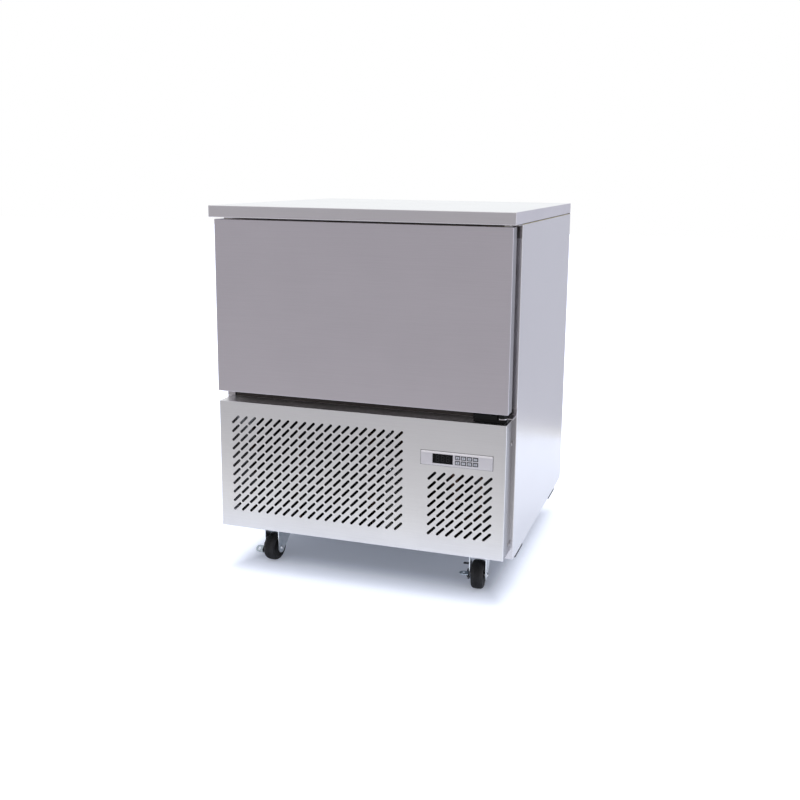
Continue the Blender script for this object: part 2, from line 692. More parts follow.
# %% Slotted panel
lo, hi = seat("slotted_front_panel")
fold, run, lip = 2.0, 1.0, 25.0
pitch, slot_length, slot_width = 24.0, 29.8, 7.0
edge = fold + run
tray = round_folds(open_side(skin_box(lo, hi), (0, 1, 0)), fold, 4)
bmesh.ops.bisect_plane(tray, geom=tray.verts[:] + tray.edges[:] + tray.faces[:], dist=0.001,
                       plane_co=(0, lo.y + lip, 0), plane_no=(0, 1, 0))
middles = {f: f.calc_center_median() for f in tray.faces}
below = [f for f, at in middles.items() if at.y > lo.y + lip and at.z < lo.z + fold]
bmesh.ops.delete(tray, geom=below, context="FACES")
front = face_towards(tray, (0, -1, 0))
bmesh.ops.inset_region(tray, faces=[front], thickness=run, use_even_offset=True)
bmesh.ops.delete(tray, geom=[front], context="FACES_ONLY")
case_lo, case_hi = seat("controller_case")
bezel = ((case_lo.x + case_hi.x) / 2, (case_lo.z + case_hi.z) / 2)
centres = [(x + pitch * i, z - pitch * j)
           for x, z, columns, rows in ((-342, 423.5, 20, 11), (202, 327.5, 7, 7))
           for i in range(columns) for j in range(rows)]
flat = taken_back(punched("slotted_sheet", [
    rectangle(lo.x + edge, lo.z + edge, hi.x - edge, hi.z - edge),
    rectangle(bezel[0] - 75.5, bezel[1] - 16, bezel[0] + 75.5, bezel[1] + 16)],
    centres, lo.y, slot_length, slot_width, math.pi / 4, "satin_stainless"))
print("slots punched:", len(centres), "sheet faces:", len(flat.faces))
bmesh.ops.remove_doubles(merge_in(tray, flat), verts=tray.verts, dist=0.02)


def panel_part(at, way):
    """0 front and folds, 1 side flanges, 2 the slots' cut edges"""
    if abs(way.x) > 0.9 and at.y > lo.y + 3:
        return 1
    inside = lo.z + 5 < at.z < hi.z - 5 and abs(at.x) < hi.x - 5
    return 2 if inside and abs(way.y) < 0.3 and lo.y < at.y < lo.y + 1 else 0


hand_in(fold_sheet("slotted_service_panel", tray, 0.8), "satin_stainless", "slotted_front_panel",
        finish=("satin_stainless", "flange", "cut_edge"), pick=panel_part)

# %% [markdown]
# ## The rear sheet
# The same punch makes the rear sheet: three columns of long level slots behind the condensing unit,
# and a round hole for the mains cable's gland.

# %% Rear sheet
lo, hi = seat("back_panel")
gland_hole = arc(330.0, z_body + 60, 8.2, 0, 348.75, 31)
vent_pitch, vent_length, vent_width = 20, 110, 7
vents = [(x, 408 - vent_pitch * i) for x in (-230, 0, 230) for i in range(12)]
rear = punched("rear_galvanised_sheet", [rectangle(lo.x, lo.z, hi.x, hi.z), gland_hole],
               vents, lo.y, vent_length, vent_width, 0.0, "galvanised_steel")
hand_in(shade(bake(thicken(rear, 1.0))), "galvanised_steel", "back_panel")

# %% [markdown]
# ## The controller
# A standard electronic controller clips into the panel from the front. Its pale bezel has a sloping
# top edge that catches the light, a smoked window for the figures, and eight small keys in dark
# rubber surrounds. The window and key openings are cut out of the bezel's face with the punching
# tree's outline, and its rim is lofted in steps down to the sheet.

# %% Controller bezel
bx0, bx1, bz0, bz1, y_face = case_lo.x, case_hi.x, case_lo.z, case_hi.z, case_lo.y
y_sheet = seat("slotted_front_panel")[0].y
window = seat("display_window")
keys = [seat(f"button_{i + 1}") for i in range(8)]


def key_middle(box):
    return (box[0].x + box[1].x) / 2, (box[0].z + box[1].z) / 2


gap, key_w, key_h = 0.4, 6.3, 4.9
loops = [rectangle(bx0 + 3, bz0 + 3, bx1 - 3, bz1 - 6.0, 1.5),
         rectangle(window[0].x - 0.3, window[0].z - 0.3, window[1].x + 0.3, window[1].z + 0.3)]
for cx, cz in map(key_middle, keys):
    loops.append(rectangle(cx - key_w - gap, cz - key_h - gap, cx + key_w + gap, cz + key_h + gap))
bm = taken_back(punched("bezel_face", loops, [], y_face, 1, 1, 0, "grey_moulding"))
rim = [(3, 6.0, y_face, 1.5), (2.0, 5.4, y_face + 0.3, 1.8), (0.5, 2.1, y_face + 3.4, 2.4),
       (0, 1.4, y_face + 4.1, 2.6), (0, 1.4, y_sheet, 2.6)]
weave(bm, [[(x, y, z) for x, z in rectangle(bx0 + side, bz0 + side, bx1 - side, bz1 - over, bend)]
           for side, over, y, bend in rim], ring=True, inside_out=True)
bmesh.ops.remove_doubles(bm, verts=bm.verts, dist=0.01)
bmesh.ops.recalc_face_normals(bm, faces=bm.faces)
if face_towards(bm, (0, -1, 0)).calc_center_median().y > y_face + 1:
    bmesh.ops.reverse_faces(bm, faces=bm.faces)
hand_in(fold_sheet("controller_bezel", bm, 1.2), "grey_moulding", "controller_case")
lip = skin_box((bx0 - 0.5, y_sheet - 1.0, bz0 - 0.3), (bx1 + 0.5, y_sheet, bz1 - 1.0))
open_side(open_side(lip, (0, 1, 0)), (0, -1, 0), 3.0)
hand_in(fold_sheet("controller_bezel_seal", lip, 0.3), "black_rubber")
case = skin_box((bezel[0] - 75, y_sheet + 1.2, bezel[1] - 15.5),
                (bezel[0] + 75, case_hi.y, bezel[1] + 15.5))
round_folds(open_side(case, (0, -1, 0)), 1.5)
hand_in(fold_sheet("controller_rear_case", case, 1.5), "black_moulding")

# %% [markdown]
# ## Window and keys
# The window is a slightly crowned smoked lens, flush in the bezel, with unlit seven-segment figures
# just visible. Each key is a pale cap in a dark rubber surround with one plain mark on it: arrows,
# a plus and a minus, bars and dots, which mean nothing to any one maker.

# %% Window
lo, hi = window
deliver("display_lens", soft_box(lo, hi, 0.5, 2), "display_lens", "display_window")


def bar_marks(bars, cx, cz, y, t=0.12):
    """small raised bars (right, up, width, height) round a point of a face in the plane y"""
    bm = bmesh.new()
    for x, z, w, h in bars:
        x, z, foot = x + cx, z + cz, y + 0.3
        merge_in(bm, skin_box((x - w / 2, y - t, z - h / 2), (x + w / 2, foot, z + h / 2)))
    return bm


figure = [(0, dz, 5.6, 1.1) for dz in (-7.2, 0, 7.2)]
figure += [(dx, dz, 1.1, 5.4) for dx in (-3.6, 3.6) for dz in (-3.6, 3.6)]
digits = [(x + 13 * k, z, w, h) for k in range(3) for x, z, w, h in figure]
finishes["segment"] = moulded("unlit_display_segment", "#26272b", 0.3, 0.5, 0.002, 0.05)
hand_in(mesh_object("display_segments", bar_marks(digits, lo.x + 13, (lo.z + hi.z) / 2, lo.y, 0.05)),
        "display_lens", finish="segment")

# %% Keys
finishes["mark"] = moulded("printed_key_mark", "#8a8b90", 0.5, 0.4, 0.002, 0.05)
finishes["surround"] = moulded("dark_key_surround", "#2c2c30", 0.55, 0.5, 0.01, 0.1)
minus = [(0, 0, 4.4, 1.1)]
outlined = [(-2.0, 0, 0.8, 4.2), (2.0, 0, 0.8, 4.2), (0, -1.8, 4.4, 0.8), (0, 1.8, 4.4, 0.8)]
marks = [[(0, 1.5 - k, 1.0 + 1.1 * k, 1.0) for k in range(4)], minus + [(0, 0, 1.1, 4.4)],
         [(0, k * 1.5, 4.2, 0.8) for k in (-1, 0, 1)], outlined,
         [(0, k - 1.5, 1.0 + 1.1 * k, 1.0) for k in range(4)], minus,
         [(k * 1.7, 0, 0.9, 4.0) for k in (-1, 0, 1)], outlined + [(0, 0, 1.4, 1.4)]]
for i, (box, bars) in enumerate(zip(keys, marks)):
    (cx, cz), y0, body = key_middle(box), box[0].y, f"key_{i + 1}"
    ring = soft_box((cx - key_w, y0 + 0.3, cz - key_h), (cx + key_w, y_face + 5.0, cz + key_h), 0.6, 2)
    deliver(f"{body}_surround", ring, "black_rubber", f"button_{i + 1}", body=body, finish="surround")
    cap = soft_box((cx - 4.7, y0, cz - 3.3), (cx + 4.7, y_face + 2.0, cz + 3.3), 0.7, 3)
    deliver(f"{body}_cap", cap, "key_plastic", body=body)
    mark = mesh_object(f"{body}_mark", bar_marks(bars, cx, cz, y0 + 0.05))
    hand_in(mark, "key_plastic", body=body, finish="mark")

# %% [markdown]
# ## Castors
# Each castor is four things: a top plate bolted up into the cabinet, a fork that swivels under it on
# two races of balls, a rubber wheel on its axle bolt, and on the front pair a brake pedal. The castor
# is drawn once round its swivel axis with the wheel trailing towards -Y, and `corner` turns it and
# puts it under its own corner. The fork is one strip of sheet bent over the wheel: the strip's edges
# follow the leg's tapered outline, and a shallow pressed rib stiffens each leg.

# %% Castor places
TRAIL, AXLE_Z = 38.0, 38.0
AXLE = Matrix.Translation((0, -TRAIL, AXLE_Z)) @ Matrix.Rotation(math.pi / 2, 4, "Y")
CASTORS = {"front_left": (-281, -242, -7), "front_right": (299, -242, 4.5),
           "rear_left": (-281, 242, 10), "rear_right": (299, 242, -5)}


def corner(name):
    x, y, turn = CASTORS[name]
    return Matrix.Translation((x, y, 0)) @ Matrix.Rotation(math.radians(turn), 4, "Z")


def lathe(profile, steps, at=None):
    """closed (radius, height) profile spun about Z"""
    turns = [2 * math.pi * i / steps for i in range(steps)]
    rings = [[(r * math.cos(t), r * math.sin(t), z) for t in turns] for r, z in profile]
    bm = weave(bmesh.new(), rings, ring=True, tube=True)
    bmesh.ops.remove_doubles(bm, verts=bm.verts, dist=0.002)
    bmesh.ops.dissolve_degenerate(bm, edges=bm.edges, dist=0.001)
    bmesh.ops.recalc_face_normals(bm, faces=bm.faces)
    if at:
        bm.transform(at)
    return bm


# %% Fork
LEG_END = 15.0


def leg_reach(z):
    """how far the leg's round end reaches from the axle at a height below it"""
    return math.sqrt(max(0, LEG_END ** 2 - (AXLE_Z - z) ** 2))


def leg_edges(z):
    """front and back edge of the leg at a height"""
    front = -TRAIL - (LEG_END if z >= AXLE_Z else leg_reach(z))
    slope_z = AXLE_Z - 7.5
    back = -TRAIL + leg_reach(z) if z < slope_z else min(24.0, -TRAIL + 12.75 + z - slope_z)
    return front, back


def fork_strap():
    """the bent strap, outer skin only: nine points across it, and a row at each level of the legs"""
    crown_z, out, bend = 91.7, 20.5, 6.0
    levels = [23.02, 23.5, 25, 27.5, 30.5, 34, 38, 44, 50, 56, 62, 68, 74, 80, 84.5]
    right = [(out, z) for z in levels] + arc(out - bend, crown_z - bend, bend, 0, 90, 5)
    rib_depth, rib_low, rib_high = 1.1, 44, 84
    rows = []
    for x, z in [(-x, z) for x, z in right] + right[::-1]:
        front, back = leg_edges(z)
        along = (z - rib_low) / (rib_high - rib_low)
        rib = math.copysign(rib_depth * math.sin(math.pi * along) if 0 < along < 1 else 0, x)
        rows.append([(x - rib * math.sin(math.pi * t) ** 2, front + (back - front) * t, z)
                     for t in [k / 8 for k in range(9)]])
    return weave(bmesh.new(), rows)


race_bowl = [(5.1, 89.4), (22, 89.4), (23.4, 92.2), (24, 94.2), (23.4, 96.6), (21.5, 97.7), (5.1, 97.7)]
shank = [(0, -26.5), (3.9, -26.5), (3.9, 25), (0, 25)]
bolt_head = [(0, -27.5), (5, -27.5), (6.4, -26.3), (6.4, -23.7), (0, -23.7)]
nut = [(0, 22), (5.4, 22), (5.4, 24.8), (4.4, 26.4), (0, 26.4)]
washer_ring = [(4, 20.6), (8.2, 20.6), (8.2, 21.5), (7.6, 21.9), (4, 21.9)]
for name in CASTORS:
    here, body = corner(name), f"castor_{name}"
    strap = thicken(mesh_object("strap", fork_strap()), 2.5)
    soft = strap.modifiers.new("edges", "BEVEL")
    soft.width, soft.segments = 0.45 * MM, 2
    soft.limit_method, soft.angle_limit = "ANGLE", math.radians(50)
    fork = taken_back(bake(strap))
    bmesh.ops.recalc_face_normals(fork, faces=fork.faces)
    merge_in(fork, lathe(race_bowl, 40))
    fork.transform(here)
    deliver(f"castor_fork_pressing_{name}", fork, "zinc_plated_steel", f"castor_fork_{name}", body=body,
            finish="fork")
    at = here @ AXLE
    bolt = merge_in(merge_in(lathe(shank, 20, at), lathe(bolt_head, 6, at)), lathe(nut, 6, at))
    deliver(f"castor_axle_bolt_{name}", bolt, "zinc_plated_steel", body=body, finish="axle_bolt")
    washer = lathe(washer_ring, 24, at)
    deliver(f"castor_axle_washer_{name}", washer, "black_moulding", body=body)

# %% [markdown]
# ## Castor plates and their bolts
# The top plate is a pressing with rounded corners, a raised race for the upper row of balls, and the
# big rivet that the fork turns on. Four hex bolts hold it up against the pad. Bolts and screws are
# one head repeated on points, so one small tree sets a head on every vertex that it is given.

# %% Fastener tree
fasteners, given = new_tree("fasteners", Head=("Object", None), Turn=("Vector", (0, 0, 0)))
head = add(fasteners, "GeometryNodeObjectInfo", {"Object": given["Head"]}, transform_space="ORIGINAL")
heads = add(fasteners, "GeometryNodeInstanceOnPoints", {
    "Points": given["Geometry"], "Rotation": given["Turn"], "Instance": head.outputs["Geometry"]})
end_tree(fasteners, heads, given)


def set_fasteners(name, points, head_bm, turn, *stands_for, finish="zinc_plated_steel"):
    """one head on each point, in millimetres, turned by the given angles"""
    piece = wire(name, [points], joined=False)
    head_piece = mesh_object(name + "_head", head_bm)
    run_tree(piece, fasteners, finish, head=head_piece, turn=turn)
    bpy.data.objects.remove(head_piece)
    hand_in(shade(piece), "zinc_plated_steel", *stands_for, finish=finish)


# %% Castor plates
def plate(outline, t, z=0.0, soft=0.5):
    """flat plate of an outline in XY, t thick from the height z, with softened edges"""
    bm = bmesh.new()
    low = bm.faces.new([bm.verts.new((x, y, z)) for x, y in outline])
    bm.normal_update()
    if low.normal.z > 0:
        low.normal_flip()
    up = bmesh.ops.extrude_face_region(bm, geom=[low])
    raised = [v for v in up["geom"] if isinstance(v, bmesh.types.BMVert)]
    bmesh.ops.translate(bm, vec=(0, 0, t), verts=raised)
    bmesh.ops.recalc_face_normals(bm, faces=bm.faces)
    return round_folds(bm, soft, 2, 1.0) if soft else bm


bm = bmesh.new()
bolts = []
plate_z, plate_t = 99.5, 2.5
for cx, cy, turn in CASTORS.values():
    merge_in(bm, plate(rectangle(cx - 46, cy - 33, cx + 46, cy + 33, 9, 5), plate_t, plate_z, 0))
    here = Matrix.Translation((cx, cy, 0))
    merge_in(bm, lathe([(5, 99.6), (19, 99.6), (19, 98.6), (17.8, 98.0), (5, 98.0)], 36, here))
    rivet = [(0, 85.9), (7.8, 85.9), (9, 86.6), (9, 88.7), (5, 88.9), (5, 101.9), (0, 101.9)]
    merge_in(bm, lathe(rivet, 28, here))
    bolts += [(cx + sx * 37, cy + sy * 23, plate_z) for sx in (-1, 1) for sy in (-1, 1)]
bmesh.ops.recalc_face_normals(bm, faces=bm.faces)
deliver("castor_top_plates", bm, "zinc_plated_steel", "castor_plates")
bolt = lathe([(0, -5.3), (5.4, -5.3), (6.5, -4.6), (6.5, -0.9), (0, -0.9)], 6)
merge_in(bolt, lathe([(0, -0.9), (8.2, -0.9), (8.2, 0), (0, 0)], 20))
set_fasteners("castor_plate_bolts", bolts, bolt, (0, 0, 0))

# %% [markdown]
# ## Wheels
# The tyre is black rubber moulded on a black core. Its tread has rounded shoulders and fine grooves
# round it, its flanks dish in, and the hub stands proud round the axle. All of this is one section,
# spun about the axle.

# %% Wheels
half = [(4.05, 15.6), (8.5, 15.9), (11.5, 15.2), (13, 13.6), (14.5, 12.4), (22, 12.2), (24, 13.4),
        (25.5, 15.2), (27.5, 15.95), (30, 16), (32.6, 15.6), (34.7, 14.3), (36.4, 11.9), (37.4, 8.9)]
for y, r in ((5.2, 37.7), (1.8, 38.0)):
    half += [(r, y + 0.9), (r - 0.8, y + 0.4), (r - 0.8, y - 0.4), (r, y - 0.9)]
for name in CASTORS:
    tyre = lathe(half + [(r, -y) for r, y in reversed(half)], 72, corner(name) @ AXLE)
    deliver(f"castor_tyre_{name}", tyre, "black_rubber", f"castor_wheel_{name}", angle=42,
            body=f"wheel_{name}")

# %% [markdown]
# ## Brake pedals
# A pedal is a small pressed lever on the axle bolt. A foot pushes its lower tab down to lock the wheel
# and lifts the short upper one to free it. The arm is black and the tab is plated, with a hole
# punched in it. The front left pedal hangs lower, its tab is bent up, and it has no upper tab.

# %% Brake pedals
PEDALS = {"front_left": (18.0, -28, 1.5, 35.0), "front_right": (0.0, -24, 6.5, 0.0)}
for name, (dip, tab_end, tab_z, bend) in PEDALS.items():
    at = corner(name) @ Matrix.Translation((-23.3, -TRAIL, AXLE_Z))
    at @= Matrix.Rotation(math.radians(dip), 4, "X")
    outline = arc(0, 0, 14.5, -150, 20) + [(6, 25), (5, 28), (-5, 28), (-6, 25), (-12, 12), (-22, 8),
                                           (-30, 4), (-30, -4), (-18, -7)]
    lever = plate(outline, 2.4)
    lever.transform(at @ Matrix(((0, 0, 1, 0), (1, 0, 0, 0), (0, 1, 0, 0), (0, 0, 0, 1))))
    if name == "front_right":
        upper_tab = plate([(1, -5), (1, 5), (-15, 5), (-17, 3), (-17, -3), (-15, -5)], 2.2)
        upper_tab.transform(at @ Matrix.Translation((0, 0, 25.6)))
        merge_in(lever, upper_tab)
    merge_in(lever, lathe([(0, 0), (13.2, 0), (13.8, 1.8), (12.2, 5.4), (8, 7), (0, 7)], 32,
                          at @ Matrix.Rotation(-math.pi / 2, 4, "Y")))
    deliver(f"brake_arm_{name}", lever, "black_enamel", f"brake_pedal_{name}", body=f"pedal_{name}")
    tab = plate([(1, -20), (1, 0)] + arc(tab_end + 10, -10, 10, 90, 270), 2.3)
    tab = mesh_object(f"brake_tab_{name}", tab)
    drill(tab, (tab_end + 11, -10, 1), 9.5, 12)
    tilt = Matrix.Translation((0, -10, tab_z)) @ Matrix.Rotation(math.radians(bend), 4, "X")
    tab.data.transform(Matrix.Scale(MM, 4) @ at @ tilt @ Matrix.Scale(1 / MM, 4))
    hand_in(shade(tab), "zinc_plated_steel", body=f"pedal_{name}")

# %% [markdown]
# ## Screws
# The service panel is held by four pan-head screws through its side flanges, and the rear sheet by a
# row down each side and along its bottom. A pan head is a low dome with a cross driven into it.

# %% Screws
def pan_head(diameter, height):
    """pan head standing along +Z, with its cross"""
    r = diameter / 2
    bm = lathe([(0, 0), (r, 0), (r, height * 0.35), (r * 0.86, height * 0.75), (r * 0.6, height * 0.95),
                (r * 0.3, height)], 20)
    for w, d in ((r * 1.1, r * 0.22), (r * 0.22, r * 1.1)):
        merge_in(bm, skin_box((-w / 2, -d / 2, height * 0.9), (w / 2, d / 2, height * 1.0)))
    return bm


screw_x = seat("panel_screws")[1].x - 2.5
for side, name in ((1, "right"), (-1, "left")):
    points = [(side * screw_x, y_body - 10, z) for z in screw_levels]
    set_fasteners(f"service_panel_screws_{name}", points, pan_head(10, 2.4), (0, side * math.pi / 2, 0),
                  "panel_screws", finish="screw")
rear_y = seat("back_panel")[1].y
points = [(side * 388.0, rear_y, z) for side in (-1, 1) for z in range(150, 950, 130)]
points += [(x, rear_y, 118.0) for x in range(-300, 301, 150)]
set_fasteners("rear_sheet_screws", points, pan_head(9, 2.2), (-math.pi / 2, 0, 0))

# %% [markdown]
# ## Coils
# A coil is a stack of thin fins on copper tube. The tubes run through the fins and turn back in
# return bends at each end. The fins are one plate repeated at a set pitch, and the bends are a
# polyline that a second tree turns into pipe, so both come from node trees.

# %% Fin and pipe trees
fin_stack, given = new_tree("fin_stack", Count=("Int", 100), Start=("Vector", (0, 0, 0)),
                            Pitch=("Float", 0.003), Fin_size=("Vector", (0.0004, 0.06, 0.3)))
stride = add(fin_stack, "ShaderNodeCombineXYZ", {"X": given["Pitch"]})
row = add(fin_stack, "GeometryNodeMeshLine", {
    "Count": given["Count"], "Start Location": given["Start"], "Offset": stride.outputs[0]},
    mode="OFFSET", count_mode="TOTAL")
fin = add(fin_stack, "GeometryNodeMeshCube", {"Size": given["Fin size"]})
end_tree(fin_stack, add(fin_stack, "GeometryNodeInstanceOnPoints", {
    "Points": row.outputs[0], "Instance": fin.outputs[0]}), given)

pipe_work, given = new_tree("pipe_work", Radius=("Float", 0.005))
line = add(pipe_work, "GeometryNodeMeshToCurve", {"Mesh": given["Geometry"]})
ring = add(pipe_work, "GeometryNodeCurvePrimitiveCircle", {"Resolution": 12, "Radius": given["Radius"]},
           mode="RADIUS")
end_tree(pipe_work, add(pipe_work, "GeometryNodeCurveToMesh", {
    "Curve": line.outputs[0], "Profile Curve": ring.outputs[0], "Fill Caps": True}), given)


# %% Condenser and evaporator
def coil(label, rows, pitch, slot, finish):
    """fins, end plates and return bends in the place of a CAD coil"""
    node, tube, wall, thickness = f"{label}_coil", 10, 2, 0.5
    lo, hi = seat(node)
    step, depth = (hi.z - lo.z) / rows, hi.y - lo.y
    reach = wall + step / 2 + tube / 2
    x0, x1 = lo.x + reach, hi.x - reach
    count = int((x1 - x0 - wall) / pitch) + 1
    start = ((x0 + x1 - pitch * (count - 1)) / 2, (lo.y + hi.y) / 2, (lo.z + hi.z) / 2)
    fins = mesh_object(f"{label}_fins", bmesh.new())
    run_tree(fins, fin_stack, finish, count=count, start=Vector(start) * MM, pitch=pitch * MM,
             fin_size=Vector((thickness, depth - 1, hi.z - lo.z - 1)) * MM)
    bm = taken_back(fins)
    for x in (x0 - wall, x1):
        merge_in(bm, soft_box((x, lo.y, lo.z), (x + wall, hi.y, hi.z), 0.4, 2))
    hand_in(mesh_object(f"{label}_fins", bm), slot, node, finish=finish)
    bends = []
    for side, x in ((-1, x0 - wall), (1, x1 + wall)):
        for i in range(0, rows - 1, 2):
            z = lo.z + step * (i + 1)
            turn = arc(x, z, step / 2, 90, 90 - side * 180, 10)
            path = [(x - side * 6, z + step / 2)] + turn + [(x - side * 6, z - step / 2)]
            for y in (lo.y + depth / 4, hi.y - depth / 4):
                bends.append([(px, y, pz) for px, pz in path])
    pipes = wire(f"{label}_return_bends", bends)
    run_tree(pipes, pipe_work, "copper_pipe", radius=tube / 2 * MM)
    hand_in(shade(pipes, 50), "copper_pipe", node)
    print(label, "fins:", count, "bends:", len(bends))


coil("condenser", 10, 2.5, "black_enamel", "black_fin")
coil("evaporator", 12, 4.0, "aluminium_fins", "aluminium_fins")

# %% [markdown]
# ## Air baffle
# Hot air from the fan would run round the end of the condenser and be drawn in again, so a plain black
# plate closes the space beside the fan's shroud.

# %% Air baffle
lo, hi = seat("condenser_shroud")
baffle = soft_box((hi.x - 1, lo.y + 1.2, lo.z + 2), (hi.x + 38, lo.y + 2.4, hi.z - 1), 0.3)
deliver("condenser_air_baffle", baffle, "black_enamel", finish="black_fin")

# %% [markdown]
# ## Fans
# Both fans are moulded: five blades on a cup-shaped hub. A blade is twisted, steep at the hub where it
# moves slowly and flat at the tip where it moves fast, and it sweeps forward so that it runs quietly.
# The blade is a grid bent by that rule, given its wall, and repeated round the hub.

# %% Fans
def blade_row(t, tip, hub_r, lead):
    """seven points across a blade, a fraction t of the way from the hub to the tip"""
    r = hub_r - 3 + (tip - hub_r + 3) * t
    chord = 48 + 24 * math.sin(math.pi * min(1, t * 0.75 + 0.1))
    pitch = math.radians(28 - 10 * t)
    row = []
    for c in [j / 6 - 0.5 for j in range(7)]:
        rise = chord * c * math.sin(pitch) * 0.95 + 2.2 * math.cos(math.pi * c)
        a = lead + chord * c * math.cos(pitch) / r
        row.append((r * math.cos(a), r * math.sin(a), rise))
    return row


def dressed_fan(node, largest, finish):
    """blades and hub in the place of a CAD fan"""
    lo, hi = seat(node)
    blades, hub_r, top, label = 5, 29.0, (hi.y - lo.y) / 2, f"{node}_blades"
    tip = min((hi.x - lo.x) / 2, (hi.z - lo.z) / 2, largest)
    bm = bmesh.new()
    for k in range(blades):
        weave(bm, [blade_row(t, tip, hub_r, math.radians(14) * t ** 1.5 + 2 * math.pi * k / blades)
                   for t in [i / 8 for i in range(9)]])
    bm = taken_back(bake(thicken(mesh_object(label, bm), 1.8, 0)))
    merge_in(bm, lathe([(4.2, -top), (hub_r - 2, -top), (hub_r, -top + 3), (hub_r, top - 4),
                        (hub_r - 4, top - 0.8), (hub_r - 10, top), (10, top), (8, top - 2),
                        (4.2, top - 2)], 48))
    bm.transform(Matrix.Translation((lo + hi) / 2) @ Matrix.Rotation(math.pi / 2, 4, "X"))
    for v in bm.verts:
        v.co.y = min(max(v.co.y, lo.y), hi.y)
    bmesh.ops.recalc_face_normals(bm, faces=bm.faces)
    deliver(label, bm, slot_of[node], node, angle=45, body=f"{node}_rotor", finish=finish)


dressed_fan("condenser_fan", 124.0, "grey_fan_plastic")
dressed_fan("evaporator_fan", 126.0, "black_moulding")

# %% [markdown]
# ## Tray runners
# A tray slides on two long angles, one at each side, at five levels. Each is one strip with a rounded
# fold: the ledge carries the tray's rim and the upright keeps it from drifting sideways.

# %% Tray runners
level_gap, upright = 68, 19.5
for side, name in ((-1, "left"), (1, "right")):
    lo, hi = seat(f"tray_runners_{name}")
    inner_x, outer_x = sorted((abs(lo.x), abs(hi.x)))
    bm = bmesh.new()
    for z in [lo.z + level_gap * i for i in range(5)]:
        path = round_path([(inner_x, z), (outer_x, z), (outer_x, z + upright)], 2.6)
        weave(bm, [[(side * p[0], y, p[1]) for p in path] for y in (lo.y, hi.y)], inside_out=side < 0)
    hand_in(fold_sheet(f"tray_rails_{name}", bm, 1.5), "inner_stainless", f"tray_runners_{name}")

# %% [markdown]
# ## The lower hinge's cover
# Under the door's right-hand corner a black moulding hides the hinge's fixing. It is a soft-edged block
# beside the plate, with a skirt that runs on below it, so the plate's bright edge shows as a line in
# the black. A sleeve of the same nylon hides the pin between the plate and the door.

# %% Hinge cover
lo, hi = seat("lower_hinge_cover")
cover = skin_box(lo, hi)
front_edge = [e for e in cover.edges
              if all(abs(v.co.x - lo.x) < 0.1 and abs(v.co.y - lo.y) < 0.1 for v in e.verts)]
bmesh.ops.bevel(cover, geom=front_edge, offset=14, segments=6, profile=0.5, affect="EDGES")
round_folds(cover, 1.5, 3)
merge_in(cover, soft_box((lo.x + 3, lo.y + 2, lo.z - 7.2), (386, hi.y, lo.z + 2.6), 1.2, 2))
deliver("hinge_cover_moulding", cover, "black_moulding", "lower_hinge_cover")

lo, hi = seat("door_bushes")
sleeve_z = lo.z - 0.3
sleeve = lathe([(9.1, 486.1), (10.8, 486.1), (11, 487), (11, sleeve_z - 0.8), (10.2, sleeve_z),
                (9.1, sleeve_z)], 40, Matrix.Translation(((lo.x + hi.x) / 2, (lo.y + hi.y) / 2, 0)))
deliver("hinge_pin_sleeve", sleeve, "black_moulding")

# %% [markdown]
# ## The recess under the door
# The dark sheet behind the door runs on in front of the left stile, as a small cheek with a joint
# beside it. A strip along the foot of the recess is a separate sheet, darker in the shade.

# %% Recess
finishes["shaded_strip"] = brushed_stainless("shaded_recess_strip", "#4c4846", "x", 0.3)
frame_y, foot_z = y_body - 0.2, 472.6
cheek = soft_box((-398.4, frame_y - 1.4, foot_z), (-376.0, frame_y, 520.0), 0.3)
deliver("recess_left_cheek", cheek, "satin_stainless", finish="hinge")
strip = soft_box((-372.2, frame_y - 1.2, foot_z), (296.0, frame_y, 481.5), 0.3)
deliver("recess_lower_strip", strip, "satin_stainless", finish="shaded_strip")
corner_seal = soft_box((-375.8, frame_y - 2.0, foot_z), (-372.4, frame_y, 498.0), 0.3)
button = Matrix.Translation((-381.5, frame_y - 1.3, 487)) @ Matrix.Rotation(math.pi / 2, 4, "X")
merge_in(corner_seal, lathe([(0, 0), (3.6, 0), (3.2, 1.4), (1.6, 2.2), (0, 2.4)], 20, button))
deliver("recess_corner_seal", corner_seal, "black_moulding")

# %% [markdown]
# ## Lips of the castor pads
# Each black pad turns down along the cabinet's side, which hides the raw edge of the base pan.

# %% Pad lips
bm = bmesh.new()
lip_w, half_pad = 6.9, 44.8
for x in (-399.9, 393.0):
    for y in (-242, 242):
        merge_in(bm, soft_box((x, y - half_pad, 99.6), (x + lip_w, y + half_pad, 102.4), 0.4))
deliver("castor_pad_lips", bm, "black_moulding")

# %% [markdown]
# ## Camera, floor and light
# The camera was fitted to the photograph's corners, joints and slots, so it stands where the
# photographer's did: 2.6 m in front, to the right and a little above. The floor is plain and pale.
# One broad soft lamp overhead makes the soft shadow under the cabinet, and the surroundings give
# the rest. To the camera and in reflections the surroundings are white.

# %% Camera
AZIMUTH, TILT, ROLL = math.radians(17.703), math.radians(10.545), math.radians(0.664)
level = Vector((math.cos(AZIMUTH), math.sin(AZIMUTH), 0))
ahead = Vector((-level.y * math.cos(TILT), level.x * math.cos(TILT), -math.sin(TILT)))
above = level.cross(ahead)
right = level * math.cos(ROLL) + above * math.sin(ROLL)
up = above * math.cos(ROLL) - level * math.sin(ROLL)
view = bpy.data.cameras.new("camera")
view.lens, view.sensor_width, view.shift_x, view.shift_y = 43.567, 36.0, -0.0192, -0.0595
camera = link("camera", view)
pose = Matrix((right, up, -ahead)).transposed().to_4x4()
pose.translation = (0.86525, -2.61105, 1.07244)
camera.matrix_world = pose
bpy.context.scene.camera = camera


# %% [markdown]
# The floor is a matt sheet that also glows a little, less under the cabinet and near its sides, so
# that the shadow stays soft there and the paper runs out to white. Reflections see it dimmed.

